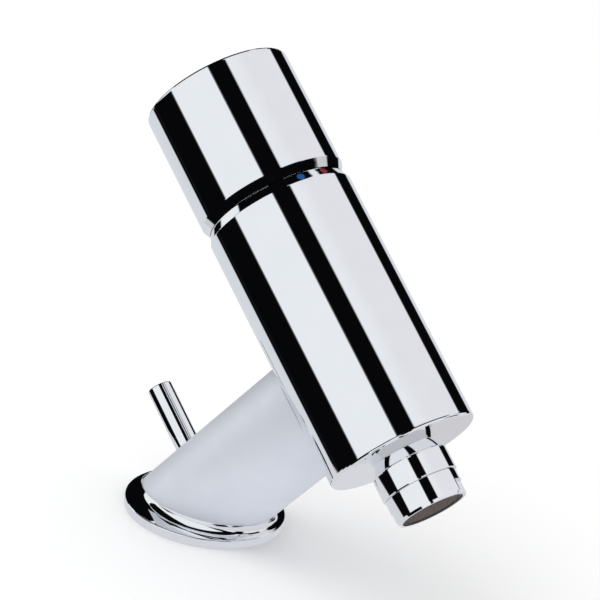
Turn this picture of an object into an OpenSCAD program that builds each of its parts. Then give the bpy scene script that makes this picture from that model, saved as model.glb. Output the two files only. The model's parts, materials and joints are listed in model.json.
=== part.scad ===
// Bidet mixer tap: a leaning riser on a round base flange carries a large
// cylindrical barrel at a right angle. The barrel's upper end is a push-pull
// and turn control knob, its lower end a swivelling aerator, and a pop-up
// waste lever stands in a slot in the back of the riser.
// Frame: +X is the front, where the water leaves, and +Z is up. The origin
// is the middle of the base's underside, on the deck.

/* [Riser] */
// Lean of the riser from the vertical, towards the front, in degrees
riser_lean = 39; // [30:1:45]
// Outside diameter of the riser
riser_d = 40; // [36:0.5:44]
// Wall of the riser casting
riser_wall = 3; // [2:0.25:3.5]
// Distance along the riser's axis from the deck to the barrel's axis
riser_reach = 103.5; // [95:0.5:120]
// Where the riser's axis meets the deck, from the flange's centre
riser_foot_x = -4.2; // [-5:0.1:-3]
// Thickness of the saddle plate that closes the riser's upper end
saddle_t = 4; // [3:0.5:6]

/* [Base] */
// Diameter of the base flange at its upper edge
flange_d = 57; // [56:0.5:64]
// Height of the flange's plain side band
flange_band = 3.4; // [3:0.1:5]
// Radius of the cove between the flange and the riser
cove_r = 3; // [2:0.1:3.4]
// Thickness of the cove's upper lip
cove_lip = 0.3; // [0.2:0.05:0.5]
// Height of the seat that the riser's foot stands on
foot_seat = 3; // [2.6:0.1:3.2]
// Diameter of the brass block that closes the riser's foot
block_d = 32; // [31:0.25:32.5]
// Thickness of that block
block_t = 8; // [7.5:0.25:8.5]
// Bore of the two inlet threads, M10x1
inlet_d = 9; // [8.5:0.1:9.5]
// Depth of the inlet threads
inlet_depth = 5; // [4.5:0.1:5.2]
// Distance between the two inlets
inlet_pitch = 18.4; // [18.2:0.1:18.8]
// Bore of the fixing stud's thread, M8
stud_d = 6.8; // [6:0.1:7]
// Width of the gasket's ring
gasket_w = 4; // [3:0.25:5]
// Thickness of the gasket
gasket_t = 1.4; // [1:0.1:1.6]

/* [Waste lever] */
// Diameter of the lever's rod
lever_d = 9.2; // [8:0.1:9.4]
// Height of the lever's end above the riser's axis
lever_top = 43.8; // [36:0.2:52]
// Place of the lever along the riser's axis, from the deck
lever_s = 10.4; // [10:0.1:11]
// Height of the lever's pivot above the riser's axis
pivot_w = 6; // [5.5:0.1:6.5]
// Travel of the lever, in degrees
lever_swing = 50; // [30:1:50]
// Gap between the lever and the sides of its slot
slot_gap = 0.5; // [0.3:0.1:0.7]
// Length of the slot between its two round ends' centres
slot_run = 22; // [21:0.5:26]
// Length of the crank arm that works the pull rod
crank_len = 9; // [8:0.1:9.5]
// Diameter of the pull rod
pull_rod_d = 5; // [4:0.1:5]

/* [Barrel] */
// Outside diameter of the barrel and of the knob
barrel_d = 53; // [50:0.5:58]
// Wall of the barrel
barrel_wall = 2.5; // [2:0.1:2.8]
// Distance from the riser's axis down to the barrel's underside
barrel_down = 31; // [29:0.5:36]
// Distance from the riser's axis up to the barrel's rim
barrel_up = 65.1; // [64:0.5:75]
// Thickness of the barrel's floor
floor_t = 4; // [3:0.25:5]
// Rounding of the barrel's lower edge
edge_r = 1.2; // [0.5:0.1:2]
// Depth of the groove's bevels on the barrel and the knob
bevel_in = 1.5; // [1:0.1:1.8]
// Height of each bevel
bevel_h = 3.2; // [2:0.1:4]
// Diameter of the coloured marks
mark_d = 2.7; // [2:0.1:3]
// Angle between the two marks, seen along the barrel
mark_apart = 22; // [14:1:60]
// Angle of the middle of the marks, from the front
mark_mid = -9; // [-45:1:45]

/* [Knob] */
// Length of the knob
knob_len = 47; // [44:0.5:60]
// Wall of the knob
knob_wall = 2; // [1.5:0.1:2.5]
// Rounding of the knob's upper edge
knob_edge_r = 1; // [0.4:0.1:1.6]
// Gap between the knob and the barrel when closed
knob_gap = 0.3; // [0.2:0.05:0.6]
// Travel of the knob from closed to full flow
knob_pull = 7; // [5:0.5:9]
// Turn of the knob to each side of the middle, in degrees
knob_turn = 50; // [30:1:60]
// Diameter of the control stem
stem_d = 8; // [7:0.1:9]
// Wall of the sleeve that shows when the knob is pulled
skirt_wall = 1; // [0.8:0.1:1.5]

/* [Cartridge] */
// Outside diameter of the cartridge sleeve
sleeve_d = 19; // [18:0.1:20]
// Wall of the cartridge sleeve
sleeve_wall = 3; // [2.5:0.1:3.2]
// Diameter of the water ports
port_d = 5; // [4:0.1:5.5]
// Diameter of the two supply tubes
tube_d = 8; // [7:0.1:8]
// Wall of the supply tubes
tube_wall = 1; // [0.8:0.1:1.2]
// Distance of the supply tubes in front of the riser's axis
tube_front = 4.5; // [4:0.1:5]
// Diameter of the valve body's column
column_d = 30; // [28:0.5:32]

/* [Aerator] */
// Diameter of the socket, the upper ring of the aerator
socket_d = 27; // [26:0.1:28.5]
// Diameter of the housing, the lower ring
housing_d = 26; // [25.4:0.1:27]
// Diameter of the ball that the aerator swivels on
ball_d = 24.8; // [24.4:0.1:25]
// Depth of the ball's centre below the barrel
ball_down = 6.1; // [5.8:0.1:6.3]
// Distance from the barrel down to the socket's top
socket_down = 3.9; // [3.7:0.1:4.1]
// Height of the socket
socket_h = 8.6; // [8:0.1:9.2]
// Height of the housing below the socket
housing_h = 9; // [8.5:0.1:11]
// Width across the two spanner flats
flats_w = 24; // [23:0.1:25.4]
// Bore of the housing's mouth
mouth_d = 22.2; // [21:0.1:22.6]

/* [Hidden] */
$fn = 96;

// Clearances and small sizes that several pieces share
run_fit = 0.05;     // radial clearance of what turns or slides
seat_fit = 0.05;    // radial clearance of what is pressed or screwed in
pass_fit = 0.2;     // radial clearance of what only passes through
face_gap = 0.05;    // gap between faces that seal through a ring
big = 200;          // a cutting block larger than the tap

riser_r = riser_d / 2;
riser_in = riser_r - riser_wall;
barrel_r = barrel_d / 2;
barrel_in = barrel_r - barrel_wall;
flange_r = flange_d / 2;
flange_low_r = flange_r + 0.5;
block_r = block_d / 2;
collar_r = block_r + 2.6;
collar_t = 1.5;
inlet_y = inlet_pitch / 2;
tube_r = tube_d / 2;
tube_in = tube_r - tube_wall;
lever_r = lever_d / 2;
slot_r = lever_r + slot_gap;
floor_top = -barrel_down + floor_t;

// The riser's frame has its axis up; the ridge side, with the slot, is -X.
module in_riser() {
    translate([riser_foot_x, 0, 0])
        rotate([0, riser_lean, 0])
            children();
}

// The barrel's frame has its origin where the two axes meet, its axis up
// towards the knob and the front along +X.
module in_barrel() {
    in_riser()
        translate([0, 0, riser_reach])
            rotate([0, -90, 0])
                children();
}

// A point given in the riser's frame, as one in the part's frame.
function from_riser(x, y, s) = [
    riser_foot_x + x * cos(riser_lean) + s * sin(riser_lean),
    y,
    s * cos(riser_lean) - x * sin(riser_lean)
];

// Where the riser's axis, moved forward by t, is at height z.
function riser_x_at(z, t) = riser_foot_x + z * tan(riser_lean) + t / cos(riser_lean);

module ring(r_out, r_in, h) {
    difference() {
        cylinder(r = r_out, h = h);
        translate([0, 0, -1])
            cylinder(r = r_in, h = h + 2);
    }
}

// A ring of round section, flattened where it is squeezed.
module o_ring(r_mid, r_sec) {
    rotate_extrude()
        translate([r_mid, 0])
            circle(r = r_sec, $fn = 32);
}

// A rod with two flats, for what has to turn together.
module double_d(r, across, h) {
    intersection() {
        cylinder(r = r, h = h);
        translate([-r - 1, -across / 2, 0])
            cube([2 * r + 2, across, h]);
    }
}

// Base

// The cove is what a ball of its radius leaves when it rolls round the riser's
// foot. Its centre keeps the height cove_z, on a cylinder about the riser.
cove_z = flange_band + cove_r;
cove_turns = 72;
cove_steps = 9;

function turn_y(v, a) = [v[0] * cos(a) + v[2] * sin(a), v[1], v[2] * cos(a) - v[0] * sin(a)];
function foot_point(out, r, z) =
    [riser_foot_x, 0, 0] + r * out
    + (z - r * out[2]) / cos(riser_lean) * [sin(riser_lean), 0, cos(riser_lean)];

// One section of the cove, at the riser's outward direction out.
function cove_section(out) =
    let (
        centre = foot_point(out, riser_r + cove_lip + cove_r, cove_z),
        sweep = acos(out[2]),
        lip = centre - cove_r * out
    )
    concat(
        [lip - (cove_lip + 2) * out],
        [for (i = [0 : cove_steps])
            let (u = i / cove_steps)
            centre - cove_r * (sin((1 - u) * sweep) * out + sin(u * sweep) * [0, 0, 1]) / sin(sweep)],
        [
            [centre[0], centre[1], flange_band - 0.3],
            foot_point(out, riser_r - 2, flange_band - 0.3)
        ]
    );

module cove() {
    rows = cove_steps + 4;
    polyhedron(
        points = [for (t = [0 : cove_turns - 1])
            each cove_section(turn_y([cos(t * 360 / cove_turns), sin(t * 360 / cove_turns), 0], riser_lean))],
        faces = [for (t = [0 : cove_turns - 1], i = [0 : rows - 1])
            let (
                t2 = (t + 1) % cove_turns,
                i2 = (i + 1) % rows
            )
            each [
                [t * rows + i, t2 * rows + i2, t * rows + i2],
                [t * rows + i, t2 * rows + i, t2 * rows + i2]
            ]]
    );
}

module base_flange() {
    open_r = block_r + run_fit;
    color("silver")
        difference() {
            union() {
                rotate_extrude()
                    polygon(concat(
                        [
                            [open_r, flange_band],
                            [open_r, collar_t + run_fit],
                            [collar_r + run_fit, collar_t + run_fit],
                            [collar_r + run_fit, 0],
                            [flange_low_r - 0.3, 0],
                            [flange_low_r, 0.3],
                            [flange_low_r, flange_band - 0.5]
                        ],
                        [for (a = [0 : 15 : 90])
                            [flange_r + 0.5 * cos(a), flange_band - 0.5 + 0.5 * sin(a)]]
                    ));
                intersection() {
                    cove();
                    cylinder(r = flange_r, h = big);
                }
            }
            // the oblique seat of the riser's foot
            intersection() {
                in_riser()
                    cylinder(r = riser_r + seat_fit, h = big);
                translate([-big / 2, -big / 2, foot_seat])
                    cube(big);
            }
            translate([0, 0, -1])
                ring(gasket_r + gasket_w / 2 + pass_fit, gasket_r - gasket_w / 2 - pass_fit, gasket_t + 1);
        }
}

gasket_r = (collar_r + flange_low_r) / 2;

module base_gasket() {
    color("dimgray")
        ring(gasket_r + gasket_w / 2, gasket_r - gasket_w / 2, gasket_t);
}

// Places on the block, seen from above
stud_x = -10;
screw_x = -8;
screw_y = 9.5;
screw_r = 1.5;
screw_head_r = 2.75;
screw_head_h = 3;
boss_r = 3.4;
pivot = from_riser(-pivot_w, 0, lever_s);
crank_up = lever_swing / 2;
pull_x = pivot[0] + crank_len * (1 + cos(crank_up)) / 2;
link_z = pivot[2] + crank_len * sin(crank_up);
pull_travel = 2 * crank_len * sin(crank_up);
lug_t = 1.8;
hub_w = 8;
hub_r = 4.6;
cheek_t = 1.6;
crank_end_r = 2.2;
hub_gap = 0.3;
pin_r = 2;
link_r = 1.25;
eye_gap = 0.15;
eye_slide = crank_len * (1 - cos(crank_up)) / 2;
tongue_t = 3.6;
tongue_w = 6.4;
eye_foot = 3;

module base_block() {
    lug_w = 7;
    lug_y = hub_w / 2 + hub_gap;
    color("goldenrod")
        difference() {
            union() {
                cylinder(r = collar_r, h = collar_t);
                cylinder(r = block_r, h = block_t);
                // the two lugs that carry the lever's pin
                for (side = [-1, 1])
                    translate([pivot[0], side * (lug_y + lug_t / 2), 0]) {
                        translate([-lug_w / 2, -lug_t / 2, block_t - 1])
                            cube([lug_w, lug_t, pivot[2] - block_t + 1]);
                        translate([0, lug_t / 2, pivot[2]])
                            rotate([90, 0, 0])
                                cylinder(d = lug_w, h = lug_t);
                    }
                // sockets that hold the feet of the supply tubes
                for (side = [-1, 1])
                    intersection() {
                        in_riser()
                            translate([tube_front, side * inlet_y, tube_s0])
                                cylinder(r = tube_r + 1, h = 9);
                        translate([0, 0, block_t - 1])
                            cylinder(r = block_r, h = 4);
                    }
            }
            for (side = [-1, 1]) {
                translate([tube_x_low, side * inlet_y, -1])
                    cylinder(d = inlet_d, h = inlet_depth + 1);
                in_riser()
                    translate([tube_front, side * inlet_y, tube_s0]) {
                        cylinder(r = tube_r + seat_fit, h = big);
                        translate([0, 0, -3])
                            cylinder(r = tube_in, h = 4);
                    }
                translate([screw_x, side * screw_y, -1])
                    cylinder(r = screw_r + pass_fit, h = big);
                translate([screw_x, side * screw_y, -1])
                    cylinder(r = screw_head_r + pass_fit, h = screw_head_h + 1);
            }
            translate([stud_x, 0, -1])
                cylinder(d = stud_d, h = big);
            // guide of the pull rod, and room for its head at its lowest
            translate([pull_x, 0, -1])
                cylinder(r = pull_rod_d / 2 + run_fit, h = big);
            translate([pull_x - tongue_w / 2 - 0.5, -tongue_t / 2 - 0.4, link_z - pull_travel - eye_foot - 0.5])
                cube([tongue_w + 1, tongue_t + 0.8, big]);
            translate([pivot[0], -hub_w / 2 - hub_gap, link_z - pull_travel - crank_end_r - 0.4])
                cube([pull_x - pivot[0] + tongue_w / 2 + 1, hub_w + 2 * hub_gap, big]);
            translate([pivot[0], hub_w / 2 + hub_gap, pivot[2]])
                rotate([90, 0, 0])
                    cylinder(r = hub_r + hub_gap, h = hub_w + 2 * hub_gap);
            translate([pivot[0], big / 2, pivot[2]])
                rotate([90, 0, 0])
                    cylinder(r = pin_r + seat_fit, h = big);
        }
}

tube_x_low = riser_x_at(inlet_depth, tube_front);
tube_foot_z = inlet_depth + tube_r * sin(riser_lean) - 0.4;
tube_s0 = (tube_foot_z + tube_front * sin(riser_lean)) / cos(riser_lean);

module block_screws() {
    color("silver")
        for (side = [-1, 1])
            translate([screw_x, side * screw_y, 0])
                difference() {
                    union() {
                        translate([0, 0, 0.2])
                            cylinder(r = screw_head_r, h = screw_head_h - 0.2);
                        translate([0, 0, 0.2])
                            cylinder(r = screw_r, h = block_t + 5.5);
                    }
                    translate([0, 0, -1])
                        cylinder(r = 1.45, h = 2.8, $fn = 6);
                }
}

// Riser: the hollow casting between the base and the barrel

module riser() {
    color("gainsboro")
        difference() {
            union() {
                difference() {
                    in_riser()
                        cylinder(r = riser_r, h = riser_reach);
                    difference() {
                        in_riser()
                            translate([0, 0, -10])
                                cylinder(r = riser_in, h = riser_reach + 10);
                        in_barrel()
                            translate([0, 0, -big / 2])
                                cylinder(r = barrel_r + saddle_t, h = big);
                    }
                }
                // bosses for the screws that hold the block
                intersection() {
                    for (side = [-1, 1])
                        translate([screw_x, side * screw_y, block_t + face_gap])
                            cylinder(r = boss_r, h = 10);
                    in_riser()
                        cylinder(r = riser_r - 0.5, h = riser_reach);
                }
            }
            translate([-big / 2, -big / 2, foot_seat - big])
                cube(big);
            in_barrel()
                translate([0, 0, -big / 2])
                    cylinder(r = barrel_r + seat_fit, h = big);
            // the lever's slot, along the ridge
            in_riser()
                for (part = [0, 1, 2])
                    if (part < 2)
                        translate([0, 0, lever_s + part * slot_run])
                            rotate([0, -90, 0])
                                cylinder(r = slot_r, h = riser_r + 5);
                    else
                        translate([-riser_r - 5, -slot_r, lever_s])
                            cube([riser_r + 5, 2 * slot_r, slot_run]);
            for (side = [-1, 1]) {
                translate([screw_x, side * screw_y, block_t - 1])
                    cylinder(r = screw_r + seat_fit, h = 7);
                in_riser()
                    translate([tube_front, side * inlet_y, riser_reach / 2])
                        cylinder(r = tube_r + pass_fit, h = riser_reach);
            }
            in_barrel()
                for (z = saddle_screw_z)
                    translate([-riser_reach, 0, z])
                        rotate([0, 90, 0])
                            cylinder(r = saddle_screw_r + seat_fit, h = riser_reach);
        }
}

// Waste lever, its crank and the pull rod

module at_pivot() {
    translate(pivot)
        rotate([0, riser_lean, 0])
            children();
}

module lever_hub() {
    cheek_y = hub_w / 2 - cheek_t;
    color("goldenrod")
        difference() {
            union() {
                translate(pivot)
                    translate([0, hub_w / 2, 0])
                        rotate([90, 0, 0])
                            cylinder(r = hub_r, h = hub_w);
                // neck that the rod screws onto
                at_pivot()
                    rotate([0, -90, 0])
                        cylinder(r = 3, h = 9);
                // the two cheeks of the crank
                translate(pivot)
                    rotate([0, -crank_up, 0])
                        for (side = [-1, 1])
                            translate([0, side * (cheek_y + cheek_t / 2) + cheek_t / 2, 0])
                                rotate([90, 0, 0]) {
                                    translate([0, -crank_end_r, 0])
                                        cube([crank_len, 2 * crank_end_r, cheek_t]);
                                    translate([crank_len, 0, 0])
                                        cylinder(r = crank_end_r, h = cheek_t);
                                }
            }
            translate([pivot[0], big / 2, pivot[2]])
                rotate([90, 0, 0])
                    cylinder(r = pin_r + run_fit, h = big);
            translate([pivot[0] + crank_len * cos(crank_up), big / 2, link_z])
                rotate([90, 0, 0])
                    cylinder(r = link_r + seat_fit, h = big);
        }
}

module lever_pin() {
    pin_len = hub_w + 2 * hub_gap + 2 * lug_t;
    color("silver")
        translate([pivot[0], pin_len / 2, pivot[2]])
            rotate([90, 0, 0])
                cylinder(r = pin_r, h = pin_len);
}

module waste_lever() {
    rod_len = lever_top - pivot_w;
    neck_len = 9;
    start = 5.2;
    color("silver")
        at_pivot()
            rotate([0, -90, 0])
                difference() {
                    union() {
                        translate([0, 0, start])
                            cylinder(r1 = lever_r - 0.4, r2 = lever_r, h = 0.4);
                        translate([0, 0, start + 0.4])
                            cylinder(r = lever_r, h = rod_len - start - 0.7);
                        translate([0, 0, rod_len - 0.3])
                            cylinder(r1 = lever_r, r2 = lever_r - 0.3, h = 0.3);
                    }
                    cylinder(r = 3 + seat_fit, h = neck_len + 0.5);
                }
}

module link_pin() {
    color("silver")
        translate([pivot[0] + crank_len * cos(crank_up), hub_w / 2, link_z])
            rotate([90, 0, 0])
                cylinder(r = link_r, h = hub_w);
}

module pull_rod() {
    head_top = 2.6;
    rod_top = link_z - eye_foot + 0.5;
    color("goldenrod")
        difference() {
            union() {
                translate([pull_x, 0, 0.1])
                    cylinder(d = pull_rod_d, h = rod_top - 0.1);
                translate([pull_x - tongue_w / 2, -tongue_t / 2, link_z - eye_foot])
                    cube([tongue_w, tongue_t, eye_foot + head_top]);
            }
            // the eye is long across, because the crank's end swings
            for (side = [-1, 1])
                translate([pull_x + side * eye_slide, big / 2, link_z])
                    rotate([90, 0, 0])
                        cylinder(r = link_r + eye_gap, h = big);
            translate([pull_x - eye_slide, -big / 2, link_z - link_r - eye_gap])
                cube([2 * eye_slide, big, 2 * (link_r + eye_gap)]);
            // thread for the rod that carries on below the deck
            translate([pull_x, 0, -1])
                cylinder(r = 1.65, h = 7);
        }
}

// Supply tubes

tube_in_body = 7;   // how far a tube reaches into the valve body

module supply_tube(side) {
    len = riser_reach - tube_s0 - sqrt(barrel_in * barrel_in - inlet_y * inlet_y) + tube_in_body;
    in_riser()
        translate([tube_front, side * inlet_y, tube_s0])
            ring(tube_r, tube_in, len);
}

module hot_supply_tube() {
    color("peru") supply_tube(-1);
}

module cold_supply_tube() {
    color("peru") supply_tube(1);
}

inlet_seal_in = 3;  // from the valve body's side to its inlet seals

module inlet_seals() {
    color("dimgray")
        in_barrel()
            for (side = [-1, 1])
                translate([-column_side_x + inlet_seal_in, side * inlet_y, -tube_front])
                    rotate([0, 90, 0])
                        o_ring(tube_r + 0.55, 0.5);
}

// Barrel

saddle_screw_r = 2;
saddle_screw_z = [10.5, -13];
saddle_head_r = 3.8;
saddle_head_h = 1.9;

module saddle_screws() {
    color("silver")
        in_barrel()
            for (z = saddle_screw_z)
                translate([-barrel_in - 0.25, 0, z])
                    rotate([0, -90, 0])
                        difference() {
                            union() {
                                cylinder(r1 = saddle_head_r, r2 = saddle_screw_r, h = saddle_head_h);
                                cylinder(r = saddle_screw_r, h = barrel_wall + saddle_t - 0.5);
                            }
                            translate([0, 0, -0.5])
                                cylinder(r = 1.45, h = 1.9, $fn = 6);
                        }
}

// The edge between a cylinder's side and its bevel, broken with a small
// radius. The side is at 0 degrees, the bevel at bevel_slant, up or down.
bevel_slant = atan(bevel_in / bevel_h);
break_r = 0.8;
function broken_edge(z, up) = [
    for (u = [0 : 3])
        let (a = up * bevel_slant * u / 3)
        [barrel_r - break_r + break_r * cos(a),
         z + break_r * (sin(a) - up * tan(bevel_slant / 2))]
];

module barrel_shell() {
    rotate_extrude()
        polygon(concat(
            [
                [shank_r + seat_fit, -barrel_down],
                [barrel_r - edge_r, -barrel_down]
            ],
            [for (a = [-75 : 15 : 0])
                [barrel_r - edge_r + edge_r * cos(a), -barrel_down + edge_r + edge_r * sin(a)]],
            broken_edge(barrel_up - bevel_h, 1),
            [
                [barrel_r - bevel_in, barrel_up],
                [barrel_in, barrel_up],
                [barrel_in, floor_top],
                [shank_r + seat_fit, floor_top]
            ]
        ));
}

mark_depth = 0.5;

// A coloured spot let into the barrel's bevel, at the given angle.
module mark_spot(angle, grow) {
    in_barrel()
        rotate([0, 0, angle])
            translate([barrel_r - bevel_in / 2, 0, barrel_up - bevel_h / 2])
                rotate([0, 90 - bevel_slant, 0])
                    translate([0, 0, -mark_depth])
                        cylinder(d = mark_d + grow, h = mark_depth + 0.02 + grow);
}

module barrel() {
    color("silver")
        difference() {
            in_barrel()
                difference() {
                    barrel_shell();
                    for (side = [-1, 1])
                        translate([-barrel_r - 5, side * inlet_y, -tube_front])
                            rotate([0, 90, 0])
                                cylinder(r = tube_r + pass_fit, h = barrel_r);
                    for (z = saddle_screw_z)
                        translate([-barrel_in - 0.25, 0, z])
                            rotate([0, -90, 0]) {
                                translate([0, 0, -1])
                                    cylinder(r = saddle_head_r + 0.1, h = 1);
                                cylinder(r1 = saddle_head_r + 0.1, r2 = saddle_screw_r + 0.1, h = saddle_head_h);
                                cylinder(r = saddle_screw_r + 0.1, h = 10);
                            }
                }
            mark_spot(mark_mid - mark_apart / 2, 0.02);
            mark_spot(mark_mid + mark_apart / 2, 0.02);
        }
}

module blue_mark() {
    color("royalblue") mark_spot(mark_mid - mark_apart / 2, 0);
}

module red_mark() {
    color("firebrick") mark_spot(mark_mid + mark_apart / 2, 0);
}

// Valve body and cartridge, all on the barrel's axis

column_r = column_d / 2;
column_side_x = sqrt(barrel_in * barrel_in - inlet_y * inlet_y) - 0.3;
sleeve_r = sleeve_d / 2;
sleeve_in = sleeve_r - sleeve_wall;
sleeve_low = -16.5;
sleeve_top = 33;
column_top = 30;
shank_r = 8;
shank_len = 9;
stem_r = stem_d / 2;
stem_flats = stem_d - 2;
piston_low = -15.5;
piston_top = 22;
guide_t = 4;
head_nut_top = 43;
head_nut_r = 19.5;
ring_z = 35;        // underside of the limit ring
ring_t = 4;
ring_r = 10;
stop_r = 14;
stop_w = 5;         // width of the limit ring's stop
stop_half = asin(stop_w / 2 / ring_r);

module valve_body() {
    web_r = barrel_in - run_fit;
    color("goldenrod")
        in_barrel()
            difference() {
                union() {
                    translate([0, 0, floor_top])
                        cylinder(r = web_r, h = guide_t);
                    translate([0, 0, floor_top])
                        cylinder(r = column_r, h = column_top - floor_top);
                    translate([0, 0, column_top - guide_t])
                        cylinder(r = web_r, h = guide_t);
                    // the bosses that receive the supply tubes
                    intersection() {
                        for (side = [-1, 1])
                            translate([-column_side_x, side * inlet_y, -tube_front])
                                rotate([0, 90, 0])
                                    cylinder(r = tube_r + 2.4, h = column_side_x);
                        translate([0, 0, floor_top])
                            cylinder(r = web_r, h = column_top - floor_top);
                    }
                }
                translate([0, 0, floor_top - 1])
                    cylinder(r = shank_r + seat_fit, h = shank_len + 1.5);
                translate([0, 0, floor_top])
                    cylinder(r = sleeve_in, h = sleeve_low - floor_top + 1);
                translate([0, 0, sleeve_low - face_gap])
                    cylinder(r = sleeve_r + seat_fit, h = big);
                for (side = [-1, 1])
                    translate([-barrel_r, side * inlet_y, -tube_front])
                        rotate([0, 90, 0]) {
                            cylinder(r = tube_r + seat_fit, h = barrel_r - column_side_x + tube_in_body);
                            cylinder(r = tube_in, h = barrel_r);
                        }
                // grooves of the inlet seals
                for (side = [-1, 1])
                    translate([-column_side_x + inlet_seal_in, side * inlet_y, -tube_front])
                        rotate([0, 90, 0])
                            translate([0, 0, -0.7])
                                ring(tube_r + 1.15, tube_r - 1, 1.4);
            }
}

module cartridge_sleeve() {
    color("ivory")
        in_barrel()
            difference() {
                union() {
                    translate([0, 0, sleeve_low])
                        cylinder(r = sleeve_r, h = sleeve_top - sleeve_low);
                    translate([0, 0, column_top + face_gap])
                        cylinder(r = sleeve_r + 2.5, h = 2);
                }
                translate([0, 0, sleeve_low - 1])
                    cylinder(r = sleeve_in, h = piston_top + knob_pull + 3 - sleeve_low);
                translate([0, 0, sleeve_low - 1])
                    cylinder(r = stem_r + run_fit, h = big);
                // hot and cold ports
                for (side = [-1, 1])
                    translate([0, 0, -tube_front])
                        rotate([-90 * side, 0, 0])
                            cylinder(d = port_d, h = sleeve_r + 1);
                // grooves of the two sleeve seals
                for (z = sleeve_seal_z)
                    translate([0, 0, z - 1])
                        ring(sleeve_r + 1, sleeve_r - 1.1, 2);
            }
}

sleeve_seal_z = [-11, 4, 26];

module sleeve_seals() {
    color("dimgray")
        in_barrel()
            for (z = sleeve_seal_z)
                translate([0, 0, z])
                    o_ring(sleeve_r - 0.55, 0.5);
}

piston_r = sleeve_in - run_fit;
flats_z = ring_z - knob_pull - 1.5;
stem_top = barrel_up + 22;
stem_seal_z = [5, 17];

module piston_stem() {
    color("lightgray")
        in_barrel()
            difference() {
                union() {
                    translate([0, 0, piston_low])
                        cylinder(r = piston_r, h = piston_top - piston_low);
                    translate([0, 0, piston_top])
                        cylinder(r = stem_r, h = flats_z - piston_top);
                    translate([0, 0, flats_z])
                        double_d(stem_r, stem_flats, stem_top - flats_z);
                }
                // the hollow that mixes the water, open below
                translate([0, 0, piston_low - 1])
                    cylinder(r = piston_r - 2, h = port_d + 4);
                // the window that meets the sleeve's ports when the stem is
                // drawn out, half of each in the middle of the turn
                translate([-piston_r - 1, -piston_r - 1, -tube_front - knob_pull - port_d / 2])
                    cube([piston_r + 1, 2 * piston_r + 2, port_d]);
                for (z = stem_seal_z)
                    translate([0, 0, z - 1])
                        ring(piston_r + 1, piston_r - 1.1, 2);
            }
}

module stem_seals() {
    color("dimgray")
        in_barrel()
            for (z = stem_seal_z)
                translate([0, 0, z])
                    o_ring(piston_r - 0.55, 0.5);
}

module limit_ring() {
    color("orange")
        in_barrel()
            translate([0, 0, ring_z])
                difference() {
                    union() {
                        cylinder(r = ring_r, h = ring_t);
                        intersection() {
                            cylinder(r = stop_r, h = ring_t);
                            translate([0, -stop_w / 2, 0])
                                cube([stop_r + 1, stop_w, ring_t]);
                        }
                    }
                    translate([0, 0, -1])
                        double_d(stem_r + run_fit, stem_flats + 2 * run_fit, ring_t + 2);
                }
}

module head_nut() {
    window = stop_half + knob_turn + 1;
    color("goldenrod")
        in_barrel()
            difference() {
                union() {
                    translate([0, 0, column_top + face_gap])
                        cylinder(r = head_nut_r, h = head_nut_top - column_top - 3);
                    translate([0, 0, head_nut_top - 4])
                        cylinder(r = 14, h = 4, $fn = 6);
                }
                translate([0, 0, column_top])
                    cylinder(r = sleeve_r + 2.5 + pass_fit, h = 2 + face_gap + pass_fit);
                translate([0, 0, column_top])
                    cylinder(r = sleeve_r + seat_fit, h = sleeve_top - column_top + pass_fit);
                translate([0, 0, ring_z - 0.3])
                    cylinder(r = ring_r + run_fit, h = ring_t + 0.6);
                // the window in which the limit ring's stop travels
                translate([0, 0, ring_z - 0.3])
                    intersection() {
                        cylinder(r = stop_r + run_fit, h = ring_t + 0.6);
                        linear_extrude(ring_t + 0.6)
                            polygon([
                                [0, 0],
                                [big * cos(window), -big * sin(window)],
                                [big * cos(window), big * sin(window)]
                            ]);
                    }
                cylinder(r = stem_r + 0.15, h = big);
            }
}

// Knob

knob_low = barrel_up + knob_gap;
knob_in = barrel_r - knob_wall;
skirt_r = barrel_in - 0.4;
skirt_low = knob_low - knob_pull - 5;
skirt_top = knob_low + 9;
hub_low = knob_low + 4.5;
hub_disc_z = skirt_top + 0.1;
hub_disc_t = 4;
boss_out_r = 8;
grub_z = hub_low + 3.5;
grub_r = 2.5;

module knob() {
    color("silver")
        in_barrel()
            difference() {
                translate([0, 0, knob_low])
                    rotate_extrude()
                        polygon(concat(
                            [
                                [barrel_in, 0],
                                [barrel_r - bevel_in, 0]
                            ],
                            [for (u = [3 : -1 : 0]) broken_edge(bevel_h, -1)[u]],
                            [for (a = [0 : 15 : 90])
                                [barrel_r - knob_edge_r + knob_edge_r * cos(a),
                                 knob_len - knob_edge_r + knob_edge_r * sin(a)]],
                            [
                                [0, knob_len],
                                [0, knob_len - knob_wall],
                                [knob_in, knob_len - knob_wall],
                                [knob_in, bevel_h + 1],
                                [barrel_in, bevel_h + 1]
                            ]
                        ));
                // the key's hole, at the back
                translate([-barrel_r - 1, 0, grub_z])
                    rotate([0, 90, 0])
                        cylinder(r = grub_r + 0.2, h = barrel_r);
            }
}

module knob_skirt() {
    color("silver")
        in_barrel()
            difference() {
                union() {
                    translate([0, 0, skirt_low])
                        ring(skirt_r, skirt_r - skirt_wall, skirt_top - skirt_low);
                    // the foot that the hub's disc holds down
                    translate([0, 0, skirt_top - 1.5])
                        ring(skirt_r, skirt_r - 4, 1.5);
                }
                translate([-barrel_r - 1, 0, grub_z])
                    rotate([0, 90, 0])
                        cylinder(r = grub_r + 0.2, h = barrel_r);
            }
}

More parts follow.
